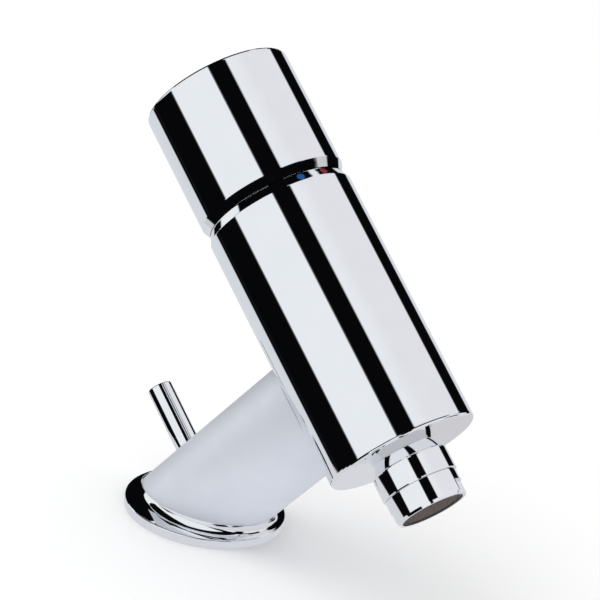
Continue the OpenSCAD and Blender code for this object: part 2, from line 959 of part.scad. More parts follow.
module knob_hub() {
    color("dimgray")
        in_barrel()
            difference() {
                union() {
                    translate([0, 0, hub_low])
                        cylinder(r = boss_out_r, h = knob_low + knob_len - knob_wall - hub_low - 8);
                    translate([0, 0, hub_disc_z])
                        cylinder(r = knob_in - seat_fit, h = hub_disc_t);
                    // ribs that hold the knob's wall
                    for (a = [45 : 90 : 315])
                        rotate([0, 0, a])
                            translate([0, -1, hub_disc_z])
                                cube([knob_in - 1, 2, 14]);
                }
                translate([0, 0, hub_low - 1])
                    double_d(stem_r + seat_fit, stem_flats + 2 * seat_fit, stem_top - hub_low + 1.2);
                translate([-boss_out_r - 1, 0, grub_z])
                    rotate([0, 90, 0])
                        cylinder(r = grub_r + seat_fit, h = boss_out_r);
            }
}

module knob_grub_screw() {
    color("silver")
        in_barrel()
            translate([-boss_out_r - 0.5, 0, grub_z])
                rotate([0, 90, 0])
                    difference() {
                        cylinder(r = grub_r, h = boss_out_r + 0.4 - stem_r);
                        translate([0, 0, -1])
                            cylinder(r = 1.45, h = 3, $fn = 6);
                    }
}

// Aerator, below the barrel's floor

ball_z = -barrel_down - ball_down;
ball_r = ball_d / 2;
ball_cut = 7;       // from the ball's centre to its flat underside
ball_hollow_r = 7;
water_r = 3.8;
cup_r = ball_r + run_fit;
socket_r = socket_d / 2;
socket_top = -barrel_down - socket_down;
socket_low = socket_top - socket_h;
socket_in = cup_r + 0.1;
housing_r = housing_d / 2;
housing_low = socket_low - housing_h;
thread_r = socket_in - seat_fit;
thread_top = ball_z - 4.2;
seat_low = thread_top + 0.1;
seat_top = seat_low + 1.4;
seal_r = thread_r - 0.75;
seal_top = thread_top - 1.3;
seal_low = ball_z - ball_cut + 0.2;
throat_r = sqrt(cup_r * cup_r - (ball_cut - 0.2) * (ball_cut - 0.2)) + 0.2;
ledge_r = 9.2;
ledge_top = ball_z - sqrt(cup_r * cup_r - ledge_r * ledge_r) - 0.3;
ledge_t = 1;
mouth_r = mouth_d / 2;
washer_t = 1;
washer_top = ledge_top - ledge_t - 0.05;
insert_top = washer_top - washer_t - 0.05;
insert_low = housing_low + 0.8;
flat_angle = 35;

module aerator_neck() {
    color("silver")
        in_barrel()
            difference() {
                union() {
                    translate([0, 0, -barrel_down])
                        cylinder(r = shank_r, h = floor_t + shank_len);
                    intersection() {
                        translate([0, 0, ball_z])
                            sphere(r = ball_r);
                        translate([0, 0, ball_z - ball_cut])
                            cylinder(r = ball_r + 1, h = ball_cut + ball_down);
                    }
                }
                translate([0, 0, ball_z - ball_r])
                    cylinder(r = water_r, h = big);
                translate([0, 0, ball_z - 10])
                    cylinder(r = ball_hollow_r, h = 12);
            }
}

// A ring about the ball, bored to it.
module ball_ring(r_out, z_low, z_high) {
    difference() {
        translate([0, 0, z_low])
            cylinder(r = r_out, h = z_high - z_low);
        translate([0, 0, ball_z])
            sphere(r = cup_r);
    }
}

module ball_seat() {
    color("white")
        in_barrel()
            ball_ring(socket_in - run_fit, seat_low, seat_top);
}

module ball_seal() {
    color("dimgray")
        in_barrel()
            ball_ring(seal_r - run_fit, seal_low, seal_top);
}

module aerator_socket() {
    shoulder = 0.8;
    color("silver")
        in_barrel()
            difference() {
                translate([0, 0, socket_low])
                    rotate_extrude()
                        polygon(concat(
                            [[0, 0], [socket_r - 0.3, 0], [socket_r, 0.3]],
                            [for (a = [0 : 15 : 90])
                                [socket_r - shoulder + shoulder * cos(a),
                                 socket_h - shoulder + shoulder * sin(a)]],
                            [[0, socket_h]]
                        ));
                translate([0, 0, ball_z])
                    sphere(r = cup_r);
                translate([0, 0, ball_z - big])
                    cylinder(r = socket_in, h = big);
            }
}

module aerator_housing() {
    color("silver")
        in_barrel()
            difference() {
                union() {
                    translate([0, 0, housing_low])
                        rotate_extrude()
                            polygon([
                                [0, 0], [housing_r - 0.8, 0], [housing_r, 0.8],
                                [housing_r, housing_h - 0.3], [housing_r - 0.3, housing_h - 0.02],
                                [0, housing_h - 0.02]
                            ]);
                    translate([0, 0, socket_low - 1])
                        cylinder(r = thread_r, h = thread_top - socket_low + 1);
                }
                translate([0, 0, seal_low - 0.02])
                    cylinder(r = seal_r, h = big);
                translate([0, 0, ledge_top])
                    cylinder(r = throat_r, h = big);
                translate([0, 0, ledge_top - ledge_t - 1])
                    cylinder(r = ledge_r, h = big);
                translate([0, 0, ledge_top - ledge_t - big])
                    cylinder(r = mouth_r, h = big);
                // the two spanner flats
                rotate([0, 0, flat_angle])
                    for (side = [0, 180])
                        rotate([0, 0, side])
                            translate([flats_w / 2, -big / 2, housing_low - 1])
                                cube([big, big, 1 + housing_h * 0.55]);
            }
}

module aerator_washer() {
    color("dimgray")
        in_barrel()
            translate([0, 0, washer_top - washer_t])
                ring(mouth_r - 0.1, ledge_r, washer_t);
}

module aerator_insert() {
    insert_r = mouth_r - seat_fit;
    rib_w = 0.7;
    cell = 2.3;
    count = floor((insert_r - 1.2) / cell);
    color("dimgray")
        in_barrel()
            difference() {
                translate([0, 0, insert_low])
                    cylinder(r = insert_r, h = insert_top - insert_low);
                // the grid of square cells that straightens the water
                for (i = [-count : count], j = [-count : count])
                    if (norm([i, j]) * cell + cell * 0.5 < insert_r - 1)
                        translate([i * cell - (cell - rib_w) / 2, j * cell - (cell - rib_w) / 2, insert_low - 1])
                            cube([cell - rib_w, cell - rib_w, big]);
            }
}

base_flange();
base_gasket();
base_block();
block_screws();
riser();
lever_hub();
lever_pin();
waste_lever();
link_pin();
pull_rod();
hot_supply_tube();
cold_supply_tube();
inlet_seals();
saddle_screws();
barrel();
blue_mark();
red_mark();
valve_body();
cartridge_sleeve();
sleeve_seals();
piston_stem();
stem_seals();
limit_ring();
head_nut();
knob_skirt();
knob_hub();
knob();
knob_grub_screw();
aerator_neck();
ball_seat();
ball_seal();
aerator_socket();
aerator_housing();
aerator_washer();
aerator_insert();
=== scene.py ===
"""Bidet mixer tap: finishes, fine pieces and the studio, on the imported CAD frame."""

import json
import math

import bmesh
import bpy
from mathutils import Matrix, Vector


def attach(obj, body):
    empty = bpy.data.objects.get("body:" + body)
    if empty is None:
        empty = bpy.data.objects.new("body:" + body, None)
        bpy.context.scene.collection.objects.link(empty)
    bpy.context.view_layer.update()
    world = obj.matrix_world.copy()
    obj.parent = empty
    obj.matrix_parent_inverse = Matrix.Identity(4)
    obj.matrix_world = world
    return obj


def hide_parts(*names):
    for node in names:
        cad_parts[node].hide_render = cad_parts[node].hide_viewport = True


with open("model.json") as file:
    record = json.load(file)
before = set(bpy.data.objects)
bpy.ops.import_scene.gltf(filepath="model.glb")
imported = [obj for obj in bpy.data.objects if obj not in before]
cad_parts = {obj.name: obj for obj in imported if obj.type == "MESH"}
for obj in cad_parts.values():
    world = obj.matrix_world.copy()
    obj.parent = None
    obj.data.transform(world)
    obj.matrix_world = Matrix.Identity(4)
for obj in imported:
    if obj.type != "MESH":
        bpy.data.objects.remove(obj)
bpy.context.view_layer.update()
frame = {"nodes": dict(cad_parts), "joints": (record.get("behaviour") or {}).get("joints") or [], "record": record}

bl_info = {
    "name": "Bidet mixer tap",
    "version": (1, 0, 0),
    "blender": (4, 5, 0),
    "location": "View3D > Sidebar > Tap",
    "description": "Finishes, threads and aerator gauze of a bidet mixer tap, and its studio",
    "category": "Object",
}

MM = 0.001
JOINTS = {joint["name"]: joint for joint in frame["joints"]}
MOUNTS = {mount["name"]: mount for mount in frame["record"]["mounts"]}

# The barrel's axis, up towards the knob. The aerator points down it.
BARREL_AXIS = Vector(JOINTS["flow_pull"]["axis"]).normalized()
BALL = Vector(JOINTS["aerator_tilt"]["pos_m"])
# The riser's axis, up from the base. It is square to the barrel's.
RISER_AXIS = Vector((BARREL_AXIS.z, 0, -BARREL_AXIS.x))

# Corners closer than these are one: of a node's facets, and along a seam or a cut.
FACET_GAP = 0.002 * MM
SEAM_GAP = 0.001 * MM
# Edges of more than this angle stay sharp.
SHARP_DEGREES = 35
ROUND_SIDES = 96

# The riser's end: how far it is drawn out, and how square and how flat its face is.
HEEL_LENGTH = 20 * MM
END_SQUARE = 0.999
END_FLAT = 0.05 * MM

# A thread's crest: how far its foot is sunk in the wall, and half that foot's width in pitches.
CREST_SUNK = 0.02 * MM
CREST_HALF = 0.38
CREST_STEPS = 48

# The gauze: its rim inside the insert's edge, its strands' ends inside that rim, and its height
# over the grid in strands.
RIM_INSET = 0.3 * MM
STRAND_INSET = 0.2 * MM
GAUZE_HEIGHT = 0.75
RIM_SIDES = 12

# The camera, found by fitting the tap's outlines to the photograph, in metres and degrees.
CAMERA_PLACE = Vector((0.61637, -0.66035, 0.43696))
CAMERA_AZIMUTH, CAMERA_HEIGHT, CAMERA_ROLL = 41.7, 21.22, 9.87
CAMERA_SENSOR_MM = 36.0
CAMERA_NEAR, CAMERA_FAR = 0.05, 50.0

LAMP_SIZE = 0.9
LAMP_PLACE = Vector((-0.5, -0.5, 1.3))
LAMP_TARGET = Vector((0.03, 0, 0.05))

FLOOR_SIZE = 8.0
FLOOR_Z = -0.05 * MM

# The near card lies just over the floor and is mirrored by what is closer than its reach.
BOUNCE_RADIUS = 0.084
BOUNCE_PLACE = (0.030, 0, -0.04 * MM)
BOUNCE_REACH = (0.092, 0.098)

# The card room stands round the barrel's axis. Its angles start at its side, square to that axis.
ROOM_RADIUS, ROOM_LENGTH = 2.5, 9.0
ROOM_CENTRE = Vector((0.03, 0.0, 0.09))
ROOM_SIDE = Vector((0.4331, -0.7246, 0.5348))
CARD_COLOURS = {"dark": "#08080A", "streak": "#1E1F24", "pearl": "#D3D1D4", "edge": "#DDE0E5",
                "warm": "#ECEBEF"}

# What stands round the axis in each zone of the room, by the angle in degrees. "card" is the
# studio's own card colour.
RINGS = {
    "within": ((-180, "edge"), (-118, "edge"), (-114, "dark"), (-66, "dark"), (-62, "card"),
               (12, "card"), (16, "dark"), (38, "dark"), (42, "warm"), (128, "warm"), (134, "dark"),
               (146, "dark"), (150, "edge"), (180, "edge")),
    "front": ((-180, "edge"), (-114, "edge"), (-110, "dark"), (88, "dark"), (94, "warm"),
              (180, "edge")),
    "low": ((-180, "pearl"), (-118.5, "pearl"), (-117, "dark"), (-65, "dark"), (-63.5, "card"),
            (1.5, "card"), (3, "dark"), (30, "dark"), (31.5, "pearl"), (113, "pearl"),
            (114.5, "dark"), (146, "dark"), (148, "pearl"), (180, "pearl")),
    "level": ((-180, "edge"), (-118.5, "edge"), (-117, "dark"), (-112, "dark"), (-110.5, "streak"),
              (-109, "dark"), (-65, "dark"), (-63.5, "card"), (1.5, "card"), (3, "dark"),
              (30, "dark"), (31.5, "card"), (60, "warm"), (113, "warm"), (114.5, "dark"),
              (146, "dark"), (148, "edge"), (180, "edge")),
    "behind": ((-180, "dark"), (-126, "dark"), (-123, "card"), (1.5, "card"), (3, "dark"),
               (30, "dark"), (31.5, "warm"), (110, "warm"), (112, "dark"), (180, "dark")),
    "above": ((-180, "dark"), (-124, "dark"), (-121, "card"), (-83, "card"), (-80, "dark"),
              (97, "dark"), (100, "warm"), (111, "warm"), (113, "dark"), (180, "dark")),
}
# Where a zone starts, by how far a mirrored ray runs up the barrel's axis, from -1 to 1.
ZONE_STARTS = {"front": -0.57, "low": -0.30, "level": -0.06, "behind": 0.52, "above": 0.75}
ZONE_BLEND = 0.01


# Helpers

def linear(code):
    """An sRGB hex value as linear RGBA."""
    parts = [int(code[i:i + 2], 16) / 255 for i in (1, 3, 5)]
    return [c / 12.92 if c <= 0.04045 else ((c + 0.055) / 1.055) ** 2.4 for c in parts] + [1.0]


def add_node(tree, kind, settings=None, inputs=None, links=None):
    """Adds one node: its settings, its sockets' values, and the outputs linked into it."""
    node = tree.nodes.new(kind)
    for name, value in (settings or {}).items():
        setattr(node, name, value)
    for name, value in (inputs or {}).items():
        node.inputs[name].default_value = value
    for name, output in (links or {}).items():
        tree.links.new(output, node.inputs[name])
    return node


def bare_material(name):
    """A material with an empty tree."""
    material = bpy.data.materials.new(name)
    material.use_nodes = True
    material.node_tree.nodes.clear()
    return material, material.node_tree


def new_material(name):
    """A material with only its output and shader, and the piece's own coordinates."""
    material, tree = bare_material(name)
    output = add_node(tree, "ShaderNodeOutputMaterial")
    shader = add_node(tree, "ShaderNodeBsdfPrincipled")
    tree.links.new(shader.outputs["BSDF"], output.inputs["Surface"])
    place = add_node(tree, "ShaderNodeTexCoord")
    return material, tree, shader, place.outputs["Object"]


def speckle(tree, place, size_mm, detail=2.0):
    """Noise whose blobs are about size_mm across."""
    return add_node(tree, "ShaderNodeTexNoise",
                    inputs={"Scale": 1 / (size_mm * MM), "Detail": detail},
                    links={"Vector": place}).outputs["Fac"]


def spread(tree, factor, low, high):
    """A value that runs from low to high with noise, which seldom leaves its middle."""
    return add_node(tree, "ShaderNodeMapRange",
                    inputs={"From Min": 0.3, "From Max": 0.7, "To Min": low, "To Max": high},
                    links={"Value": factor}).outputs["Result"]


def blend_colours(tree, factor, first, second):
    """A colour between two sRGB hex values."""
    return add_node(tree, "ShaderNodeMix", {"data_type": "RGBA"},
                    {"A": linear(first), "B": linear(second)},
                    {"Factor": factor}).outputs["Result"]


def raise_surface(tree, shader, height, depth_mm, strength):
    """Bump of a real depth."""
    bump = add_node(tree, "ShaderNodeBump",
                    inputs={"Strength": strength, "Distance": depth_mm * MM},
                    links={"Height": height})
    tree.links.new(bump.outputs["Normal"], shader.inputs["Normal"])


# Finishes

def polished_chrome():
    """Chrome plate on buffed brass: a mirror, with a faint haze left by the buffing wheel."""
    material, tree, shader, place = new_material("chrome_plate_polished")
    shader.inputs["Metallic"].default_value = 1.0
    haze = speckle(tree, place, size_mm=9, detail=3.0)
    tree.links.new(blend_colours(tree, haze, "#F4F5F7", "#EEF0F3"), shader.inputs["Base Color"])
    tree.links.new(spread(tree, haze, 0.012, 0.03), shader.inputs["Roughness"])
    return material


def satin_chrome():
    """Chrome plate on a blasted casting: soft and pale, because its grit throws part of the light
    about as a dull surface would. Metallic is under 1 for that share."""
    material, tree, shader, place = new_material("chrome_plate_satin")
    shader.inputs["Metallic"].default_value = 0.5
    grit = speckle(tree, place, size_mm=0.35)
    cloud = speckle(tree, place, size_mm=14)
    tree.links.new(blend_colours(tree, cloud, "#E9ECF3", "#DFE3EC"), shader.inputs["Base Color"])
    tree.links.new(spread(tree, cloud, 0.52, 0.6), shader.inputs["Roughness"])
    raise_surface(tree, shader, grit, depth_mm=0.02, strength=0.25)
    return material


def machined_metal(name, light, dark, roughness):
    """Bare turned metal: warm or grey, with tool marks about a quarter of a millimetre apart."""
    material, tree, shader, place = new_material(name)
    shader.inputs["Metallic"].default_value = 1.0
    stretched = add_node(tree, "ShaderNodeMapping", inputs={"Scale": (1.0, 1.0, 6.0)},
                         links={"Vector": place}).outputs["Vector"]
    marks = speckle(tree, stretched, size_mm=1.6, detail=3.0)
    tree.links.new(blend_colours(tree, marks, dark, light), shader.inputs["Base Color"])
    tree.links.new(spread(tree, marks, roughness - 0.06, roughness + 0.08),
                   shader.inputs["Roughness"])
    raise_surface(tree, shader, marks, depth_mm=0.02, strength=0.3)
    return material


def moulded_plastic(name, light, dark, roughness):
    """Moulded plastic: slightly mottled colour under a fine spark-eroded grain."""
    material, tree, shader, place = new_material(name)
    shader.inputs["IOR"].default_value = 1.5
    mottle = speckle(tree, place, size_mm=3.0, detail=3.0)
    grain = speckle(tree, place, size_mm=0.2, detail=1.0)
    tree.links.new(blend_colours(tree, mottle, dark, light), shader.inputs["Base Color"])
    tree.links.new(spread(tree, mottle, roughness - 0.05, roughness + 0.05),
                   shader.inputs["Roughness"])
    raise_surface(tree, shader, grain, depth_mm=0.01, strength=0.3)
    return material


def rubber():
    """Black nitrile rubber: dull, with a dusty bloom in patches."""
    material, tree, shader, place = new_material("nitrile_rubber_black")
    shader.inputs["IOR"].default_value = 1.52
    bloom = speckle(tree, place, size_mm=2.5, detail=4.0)
    tree.links.new(blend_colours(tree, bloom, "#17171A", "#26262A"), shader.inputs["Base Color"])
    tree.links.new(spread(tree, bloom, 0.6, 0.8), shader.inputs["Roughness"])
    raise_surface(tree, shader, bloom, depth_mm=0.03, strength=0.3)
    return material


def enamel(name, light, dark):
    """Enamel run into a shallow recess: glossy, a little deeper in colour where it pools."""
    material, tree, shader, place = new_material(name)
    shader.inputs["IOR"].default_value = 1.5
    shader.inputs["Coat Weight"].default_value = 0.6
    pool = speckle(tree, place, size_mm=1.2)
    tree.links.new(blend_colours(tree, pool, dark, light), shader.inputs["Base Color"])
    tree.links.new(spread(tree, pool, 0.15, 0.25), shader.inputs["Roughness"])
    return material


FINISHES = {
    "chrome": polished_chrome,
    "satin_chrome": satin_chrome,
    "brass": lambda: machined_metal("brass_turned", "#D9B36C", "#C39A55", 0.3),
    "copper": lambda: machined_metal("copper_drawn", "#D98E6A", "#C27755", 0.28),
    "steel": lambda: machined_metal("stainless_steel_turned", "#C9CBCE", "#B2B5B9", 0.27),
    "rubber": rubber,
    "white_plastic": lambda: moulded_plastic("acetal_white", "#EBE9E1", "#DFDCD2", 0.42),
    "black_plastic": lambda: moulded_plastic("nylon_black", "#2A2A2C", "#1C1C1E", 0.5),
    "grey_plastic": lambda: moulded_plastic("acetal_grey_brown", "#6E625C", "#514743", 0.45),
    "blue_enamel": lambda: enamel("enamel_blue", "#22589C", "#17437C"),
    "red_enamel": lambda: enamel("enamel_red", "#93343F", "#772731"),
}
MADE = {}


def finish(slot):
    """The finish of a slot of the record, made once."""
    if slot not in MADE:
        MADE[slot] = FINISHES[slot]()
    return MADE[slot]


# Modelling

def deselect_all():
    """Object mode with nothing selected, so that the next operator acts on one piece."""
    if bpy.context.object and bpy.context.object.mode != "OBJECT":
        bpy.ops.object.mode_set(mode="OBJECT")
    bpy.ops.object.select_all(action="DESELECT")


def upright_on(point, axis):
    """The placement that stands a piece's Z on an axis at a point."""
    axis = Vector(axis).normalized()
    return Matrix.Translation(Vector(point)) @ axis.to_track_quat("Z", "Y").to_matrix().to_4x4()


def place_piece(piece, matrix):
    """Puts the place into the mesh and leaves the object at the origin."""
    piece.data.transform(matrix)
    piece.data.update()


def apply_modifiers(piece):
    """Turns a piece's modifiers into its own mesh."""
    for modifier in list(piece.modifiers):
        bpy.ops.object.modifier_apply(modifier=modifier.name)


def smooth(piece, degrees):
    """Smooth shading, sharp over edges of more than the angle."""
    deselect_all()
    piece.select_set(True)
    bpy.context.view_layer.objects.active = piece
    bpy.ops.object.shade_smooth_by_angle(angle=math.radians(degrees))
    piece.select_set(False)


def hand_over(piece, name, body, slot):
    """Names a new piece, gives it its finish and lets it ride on its body."""
    piece.name = name
    piece.data.name = name
    piece.data.materials.clear()
    piece.data.materials.append(finish(slot))
    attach(piece, body)
    smooth(piece, SHARP_DEGREES)


def merged_copy(node):
    """A copy of a node's mesh with its facets joined at their corners, left open in edit mode."""
    deselect_all()
    piece = bpy.data.objects.new(node, frame["nodes"][node].data.copy())
    bpy.context.scene.collection.objects.link(piece)
    piece.select_set(True)
    bpy.context.view_layer.objects.active = piece
    bpy.ops.object.mode_set(mode="EDIT")
    bpy.ops.mesh.select_all(action="SELECT")
    bpy.ops.mesh.customdata_custom_splitnormals_clear()
    bpy.ops.mesh.remove_doubles(threshold=FACET_GAP)
    return piece


class TapThreads(bpy.types.PropertyGroup):
    """Sizes of the threads under the base."""

    hose_pitch: bpy.props.FloatProperty(
        name="Hose thread pitch", description="Distance between the crests of the M10x1 threads",
        default=1.0 * MM, unit="LENGTH", precision=5)
    stud_pitch: bpy.props.FloatProperty(
        name="Stud thread pitch", description="Distance between the crests of the M8 thread",
        default=1.25 * MM, unit="LENGTH", precision=5)
    rod_pitch: bpy.props.FloatProperty(
        name="Rod thread pitch",
        description="Distance between the crests of the pull rod's M4 thread",
        default=0.7 * MM, unit="LENGTH", precision=5)
    depth: bpy.props.FloatProperty(
        name="Crest height", description="How far the crests stand into the hole",
        default=0.3 * MM, unit="LENGTH", precision=5)


class TapGauze(bpy.types.PropertyGroup):
    """Sizes of the plastic gauze in the aerator's mouth."""

    spacing: bpy.props.FloatProperty(
        name="Strand spacing", description="Distance between the gauze's strands",
        default=1.1 * MM, unit="LENGTH", precision=5)
    strand: bpy.props.FloatProperty(
        name="Strand thickness", description="Thickness of the gauze's strands",
        default=0.28 * MM, unit="LENGTH", precision=5)
    # The rim is black: painted shade for the gap between the gauze and the housing.
    rim: bpy.props.FloatProperty(
        name="Rim thickness", description="Thickness of the ring that holds the gauze",
        default=0.9 * MM, unit="LENGTH", precision=5)


class TapStudio(bpy.types.PropertyGroup):
    """Light and backdrop of the studio."""

    world_strength: bpy.props.FloatProperty(
        name="Room light", description="Strength of the white room's light on dull surfaces",
        default=0.96, min=0.0)
    key_power: bpy.props.FloatProperty(
        name="Key lamp", description="Power of the soft lamp above, in watts",
        default=5.0, min=0.0)
    card_colour: bpy.props.FloatVectorProperty(
        name="Card colour", description="Colour of the white cards that the chrome mirrors",
        default=linear("#F3F6F8")[:3], subtype="COLOR", size=3)
    lens: bpy.props.FloatProperty(
        name="Lens", description="Focal length of the camera, on a 36 mm sensor",
        default=167.36, min=1.0)


class TAP_OT_finishes(bpy.types.Operator):
    """Give every CAD node the finish of its material slot"""

    bl_idname = "tap.finishes"
    bl_label = "Finishes"

    def execute(self, context):
        slots = {part["node"]: part["material_slot"] for part in frame["record"]["subparts"]}
        for name, node in frame["nodes"].items():
            material = finish(slots[name])
            if not node.material_slots:
                node.data.materials.append(material)
            for holder in node.material_slots:
                holder.material = material
        return {"FINISHED"}


class TAP_OT_flange(bpy.types.Operator):
    """Buff the base flange: a copy of it whose cove is shaded as one smooth surface"""

    bl_idname = "tap.flange"
    bl_label = "Buffed flange"

    def execute(self, context):
        flange = merged_copy("base_flange")
        bpy.ops.object.mode_set(mode="OBJECT")
        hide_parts("base_flange")
        hand_over(flange, "flange_buffed", "tap", "chrome")
        return {"FINISHED"}


class TAP_OT_riser(bpy.types.Operator):
    """Carry the riser's wall down to the flange at its heel, where the solid stops short of it"""

    bl_idname = "tap.riser"
    bl_label = "Riser's heel"

    def execute(self, context):
        riser = merged_copy("riser")
        bpy.ops.mesh.select_all(action="DESELECT")
        bpy.ops.mesh.select_mode(type="FACE")
        bpy.ops.object.mode_set(mode="OBJECT")
        # The solid ends square to its lean. That end is drawn out, then cut level with the foot.
        faces = riser.data.polygons
        foot = min(v.co.z for v in riser.data.vertices)
        end = min(face.center.dot(RISER_AXIS) for face in faces)
        for face in faces:
            face.select = (face.normal.dot(RISER_AXIS) < -END_SQUARE
                           and face.center.dot(RISER_AXIS) < end + END_FLAT)
        bpy.ops.object.mode_set(mode="EDIT")
        bpy.ops.mesh.extrude_region_move(
            TRANSFORM_OT_translate={"value": -HEEL_LENGTH * RISER_AXIS})
        bpy.ops.object.mode_set(mode="OBJECT")
        for face in riser.data.polygons:
            face.select = face.center.dot(RISER_AXIS) < end - END_FLAT
        bpy.ops.object.mode_set(mode="EDIT")
        bpy.ops.mesh.bisect(plane_co=(0, 0, foot), plane_no=(0, 0, 1), use_fill=True,
                            clear_inner=True, threshold=SEAM_GAP)
        bpy.ops.mesh.select_all(action="SELECT")
        bpy.ops.mesh.remove_doubles(threshold=FACET_GAP)
        bpy.ops.mesh.normals_make_consistent(inside=False)
        # The threads pick their open ends by corner.
        bpy.ops.mesh.select_mode(type="VERT")
        bpy.ops.object.mode_set(mode="OBJECT")
        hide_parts("riser")
        hand_over(riser, "riser_cast", "tap", "satin_chrome")
        return {"FINISHED"}


def thread_crests(name, mount, pitch, depth, body, slot):
    """A crest wound round inside a hole: a small triangle swept by a Screw modifier."""
    radius = mount["dims"]["r_mm"] * MM
    turns = int((mount["dims"]["length_mm"] * MM - pitch) / pitch)
    low = -0.5 * turns * pitch
    foot, half = radius + CREST_SUNK, CREST_HALF * pitch
    corners = [(foot, half), (radius - depth, 0), (foot, -half)]
    deselect_all()
    bpy.ops.mesh.primitive_circle_add(vertices=3, radius=depth, location=(0, 0, 0))
    piece = bpy.context.object
    for vertex, (out, up) in zip(piece.data.vertices, corners):
        vertex.co = (out, 0, up + low)
    screw = piece.modifiers.new("crest", "SCREW")
    screw.axis = "Z"
    screw.angle = 2 * math.pi
    screw.screw_offset = pitch
    screw.iterations = turns
    screw.steps = CREST_STEPS
    screw.render_steps = CREST_STEPS
    screw.use_merge_vertices = False
    apply_modifiers(piece)
    bpy.ops.object.mode_set(mode="EDIT")
    bpy.ops.mesh.select_all(action="SELECT")
    bpy.ops.mesh.remove_doubles(threshold=SEAM_GAP)
    bpy.ops.mesh.select_all(action="DESELECT")
    bpy.ops.mesh.select_non_manifold()
    bpy.ops.mesh.fill()
    bpy.ops.mesh.select_all(action="SELECT")
    bpy.ops.mesh.normals_make_consistent(inside=False)
    bpy.ops.object.mode_set(mode="OBJECT")
    place_piece(piece, upright_on(mount["pos_m"], mount["axis"]))
    hand_over(piece, name, body, slot)


class TAP_OT_threads(bpy.types.Operator):
    """Wind the threads into the holes under the base"""

    bl_idname = "tap.threads"
    bl_label = "Threads"

    def execute(self, context):
        sizes = context.scene.tap_threads
        for name, pitch, body in (("hot_inlet", sizes.hose_pitch, "tap"),
                                  ("cold_inlet", sizes.hose_pitch, "tap"),
                                  ("fixing_stud", sizes.stud_pitch, "tap"),
                                  ("waste_rod", sizes.rod_pitch, "rod")):
            thread_crests(name + "_thread", MOUNTS[name], pitch, sizes.depth, body, "brass")
        return {"FINISHED"}


class TAP_OT_gauze(bpy.types.Operator):
    """Stretch the plastic gauze over the aerator's grid, in a black rim that is painted shade for the gap round it
    """

    bl_idname = "tap.gauze"
    bl_label = "Aerator gauze"

    def execute(self, context):
        sizes = context.scene.tap_gauze
        insert = frame["nodes"]["aerator_insert"]
        down = [-(v.co - BALL).dot(BARREL_AXIS) for v in insert.data.vertices]
        out = [((v.co - BALL).cross(BARREL_AXIS)).length for v in insert.data.vertices]
        radius = max(out) - RIM_INSET
        centre = BALL - BARREL_AXIS * (max(down) + GAUZE_HEIGHT * sizes.strand)
        place = upright_on(centre, BARREL_AXIS)
        count = 2 * int(radius / sizes.spacing) + 1
        deselect_all()
        bpy.ops.mesh.primitive_grid_add(x_subdivisions=count, y_subdivisions=count,
                                        size=count * sizes.spacing)
        gauze = bpy.context.object
        edit = bmesh.new()
        edit.from_mesh(gauze.data)
        corners = [v for v in edit.verts if v.co.length > radius - STRAND_INSET]
        bmesh.ops.delete(edit, geom=corners, context="VERTS")
        edit.to_mesh(gauze.data)
        edit.free()
        strands = gauze.modifiers.new("strands", "WIREFRAME")
        strands.thickness = sizes.strand
        strands.use_replace = True
        apply_modifiers(gauze)
        deselect_all()
        # The rim is the ring that holds the gauze. It is made black as painted shade for the shaded gap between
        # the gauze and the housing.
        bpy.ops.mesh.primitive_torus_add(
            major_radius=radius - sizes.rim / 2, minor_radius=sizes.rim / 2,
            major_segments=ROUND_SIDES, minor_segments=RIM_SIDES)
        rim = bpy.context.object
        place_piece(gauze, place)
        place_piece(rim, place)
        hand_over(gauze, "aerator_gauze", "aerator", "grey_plastic")
        hand_over(rim, "gauze_rim_painted_gap_shade", "aerator", "black_plastic")
        return {"FINISHED"}


# Studio

def only_in_mirrors(piece):
    """Hides a card from all but the rays that leave polished metal."""
    for name in ("camera", "diffuse", "transmission", "shadow", "volume_scatter"):
        setattr(piece, "visible_" + name, False)


def ring_of_cards(tree, turned, stops):
    """Colours round a full turn, by their angles in degrees."""
    ramp = add_node(tree, "ShaderNodeValToRGB", links={"Fac": turned})
    elements = ramp.color_ramp.elements
    while len(elements) > 1:
        elements.remove(elements[-1])
    for index, (degrees, colour) in enumerate(stops):
        at = (degrees + 180) / 360
        element = elements[0] if index == 0 else elements.new(at)
        element.position = at
        element.color = colour
    return ramp.outputs["Color"]


def change_at(tree, value, start, before, after):
    """One colour or ring of cards before a value, another after it."""
    step = add_node(tree, "ShaderNodeMapRange",
                    inputs={"From Min": start - ZONE_BLEND, "From Max": start + ZONE_BLEND},
                    links={"Value": value})
    mix = add_node(tree, "ShaderNodeMix", {"data_type": "RGBA"},
                   links={"Factor": step.outputs["Result"]})
    for name, source in (("A", before), ("B", after)):
        if isinstance(source, list):
            mix.inputs[name].default_value = source
        else:
            tree.links.new(source, mix.inputs[name])
    return mix.outputs["Result"]


